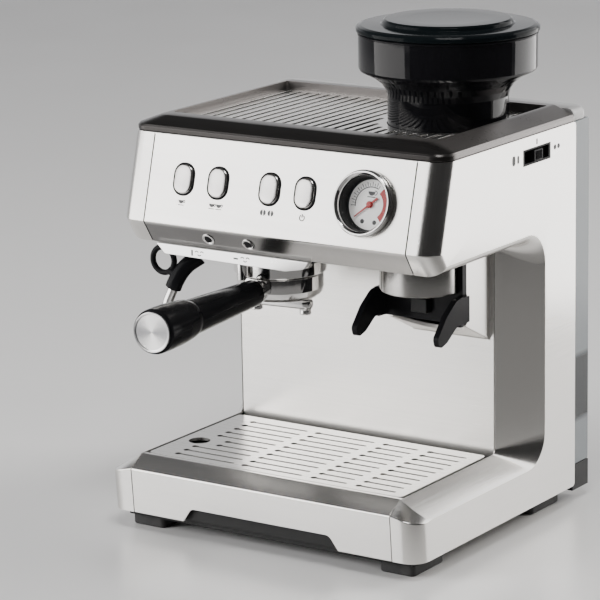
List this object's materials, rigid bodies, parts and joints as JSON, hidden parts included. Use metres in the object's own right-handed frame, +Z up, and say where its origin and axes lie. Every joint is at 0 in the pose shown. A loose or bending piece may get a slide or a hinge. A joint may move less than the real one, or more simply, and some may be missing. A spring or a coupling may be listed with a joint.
{
  "type": "espresso machine",
  "caption": "Home espresso machine with a built-in grinder, bean hopper, filter holder, steam wand, gauge, drip tray and rear water tank.",
  "frame": {"origin": "on the table, under the middle of the machine's box", "axes": "+X to the machine's right seen from the front, -Y to the front where the handle points, +Z up"},
  "size_m": [0.28, 0.3698, 0.389],
  "materials": {
    "brushed_steel": "straight-grained brushed stainless",
    "polished_steel": "polished",
    "dark_metal": "satin gun-metal",
    "black_plastic": "semi-gloss black",
    "black_rubber": "matt",
    "smoke_plastic": "glossy smoked",
    "tank_plastic": "smoky blue-grey, clear",
    "grey_plastic": "silver grey",
    "brass": "plain",
    "dial_white": "printed card",
    "red_plastic": "gloss red",
    "spun_aluminium": "turned face",
    "gauge_glass": "clear"
  },
  "bodies": {
    "machine": {"side_panel_right": "brushed_steel", "side_panel_left": "brushed_steel", "base_pan": "black_plastic", "foot_front_left": "black_rubber", "foot_rear_left": "black_rubber", "foot_front_right": "black_rubber", "foot_rear_right": "black_rubber", "tank_stand": "black_plastic", "cord_inlet": "black_plastic", "splash_plate": "brushed_steel", "rear_cover": "grey_plastic", "head_underside": "dark_metal", "front_panel": "brushed_steel", "gauge_case": "polished_steel", "gauge_dial": "dial_white", "gauge_glass": "gauge_glass", "indicator_left": "black_plastic", "indicator_right": "black_plastic", "label_strip": "polished_steel", "top_rim": "dark_metal", "cup_warmer": "dark_metal", "group_head": "polished_steel", "group_gasket": "black_rubber", "shower_screen": "polished_steel", "boiler": "brass", "water_nozzle": "polished_steel", "outlet_collar": "brushed_steel", "grounds_chute": "black_plastic", "holder_cradle": "black_plastic", "grinder_motor": "dark_metal", "selector_frame": "black_plastic", "water_pump": "dark_metal"},
    "button_one_cup": {"button_one_cup": "polished_steel"},
    "button_two_cup": {"button_two_cup": "polished_steel"},
    "button_grind": {"button_grind": "polished_steel"},
    "button_power": {"button_power": "polished_steel"},
    "gauge_needle": {"gauge_needle": "red_plastic"},
    "filter_holder": {"filter_holder": "polished_steel", "handle_grip": "black_plastic", "handle_cap": "spun_aluminium", "filter_basket": "brushed_steel", "twin_spout": "polished_steel"},
    "steam_ball": {"steam_ball": "polished_steel"},
    "steam_wand": {"wand_grip": "black_plastic", "wand_tube": "polished_steel", "wand_tip": "polished_steel"},
    "drip_tray": {"drip_tray_front": "brushed_steel", "drip_tray_tub": "black_plastic"},
    "drip_grille": {"drip_grille": "brushed_steel"},
    "tray_float": {"tray_float": "black_plastic"},
    "bean_hopper": {"bean_hopper": "smoke_plastic"},
    "hopper_lid": {"hopper_lid": "smoke_plastic"},
    "grind_selector": {"grind_selector": "black_plastic"},
    "grind_ring": {"grind_ring": "black_plastic", "outer_burr": "dark_metal"},
    "burr": {"burr_shaft": "brushed_steel", "inner_burr": "dark_metal"},
    "dose_switch": {"dose_switch": "black_plastic"},
    "water_tank": {"water_tank": "tank_plastic"},
    "tank_lid": {"tank_lid": "grey_plastic"}
  },
  "joints": [
    {"name": "press_one_cup", "type": "slide", "parent": "machine", "child": "button_one_cup", "axis": [0, 0.9639, -0.2664], "range_m": [0, 0.0025], "stiffness_N_per_m": 600, "springref_m": -0.0015},
    {"name": "press_two_cup", "type": "slide", "parent": "machine", "child": "button_two_cup", "axis": [0, 0.9639, -0.2664], "range_m": [0, 0.0025], "stiffness_N_per_m": 600, "springref_m": -0.0015},
    {"name": "press_grind", "type": "slide", "parent": "machine", "child": "button_grind", "axis": [0, 0.9639, -0.2664], "range_m": [0, 0.0025], "stiffness_N_per_m": 600, "springref_m": -0.0015},
    {"name": "press_power", "type": "slide", "parent": "machine", "child": "button_power", "axis": [0, 0.9639, -0.2664], "range_m": [0, 0.0025], "stiffness_N_per_m": 600, "springref_m": -0.0015},
    {"name": "gauge_turn", "type": "hinge", "parent": "machine", "child": "gauge_needle", "pos_m": [0.0774, -0.04202, 0.27051], "axis": [0, -0.9639, 0.2664], "range_deg": [-250, 0], "stiffness_Nm_per_rad": 0.001, "springref_deg": 17.19},
    {"name": "holder_turn", "type": "hinge", "parent": "machine", "child": "filter_holder", "pos_m": [-0.0345, 0.01114, 0.2], "axis": [0, 0, 1], "range_deg": [-30, 0]},
    {"name": "wand_swivel", "type": "hinge", "parent": "machine", "child": "steam_ball", "pos_m": [-0.084, -0.01736, 0.2125], "axis": [0, 0, 1], "range_deg": [-60, 3]},
    {"name": "wand_tilt", "type": "hinge", "parent": "steam_ball", "child": "steam_wand", "pos_m": [-0.084, -0.01736, 0.2125], "axis": [0.6508, -0.7593, 0], "range_deg": [-3, 20]},
    {"name": "tray_slide", "type": "slide", "parent": "machine", "child": "drip_tray", "axis": [0, -1, 0], "range_m": [0, 0.14]},
    {"name": "grille_lift", "type": "slide", "parent": "drip_tray", "child": "drip_grille", "axis": [0, 0, 1], "range_m": [0, 0.03]},
    {"name": "float_rise", "type": "slide", "parent": "drip_tray", "child": "tray_float", "axis": [0, 0, 1], "range_m": [0, 0.008]},
    {"name": "hopper_lift", "type": "slide", "parent": "machine", "child": "bean_hopper", "axis": [0, 0, 1], "range_m": [0, 0.03]},
    {"name": "lid_lift", "type": "slide", "parent": "bean_hopper", "child": "hopper_lid", "axis": [0, 0, 1], "range_m": [0, 0.04]},
    {"name": "selector_slide", "type": "slide", "parent": "machine", "child": "grind_selector", "axis": [0, 1, 0], "range_m": [-0.011, 0.011]},
    {"name": "ring_turn", "type": "hinge", "parent": "machine", "child": "grind_ring", "pos_m": [0.0706, 0.08614, 0.289], "axis": [0, 0, 1], "range_deg": [-10.5, 10.5]},
    {"name": "burr_spin", "type": "hinge", "parent": "machine", "child": "burr", "pos_m": [0.0706, 0.08614, 0.27], "axis": [0, 0, 1], "continuous": true},
    {"name": "dose_push", "type": "slide", "parent": "machine", "child": "dose_switch", "axis": [0, 1, 0], "range_m": [0, 0.003], "stiffness_N_per_m": 400, "springref_m": -0.0015},
    {"name": "tank_pull", "type": "slide", "parent": "machine", "child": "water_tank", "axis": [0, 1, 0], "range_m": [0, 0.06]},
    {"name": "tank_lid_hinge", "type": "hinge", "parent": "water_tank", "child": "tank_lid", "pos_m": [0, 0.18494, 0.3037], "axis": [1, 0, 0], "range_deg": [-95, 0]}
  ],
  "couplings": [
    {"joint": "ring_turn", "follows": "selector_slide", "rad_per_m": 16.4}
  ]
}
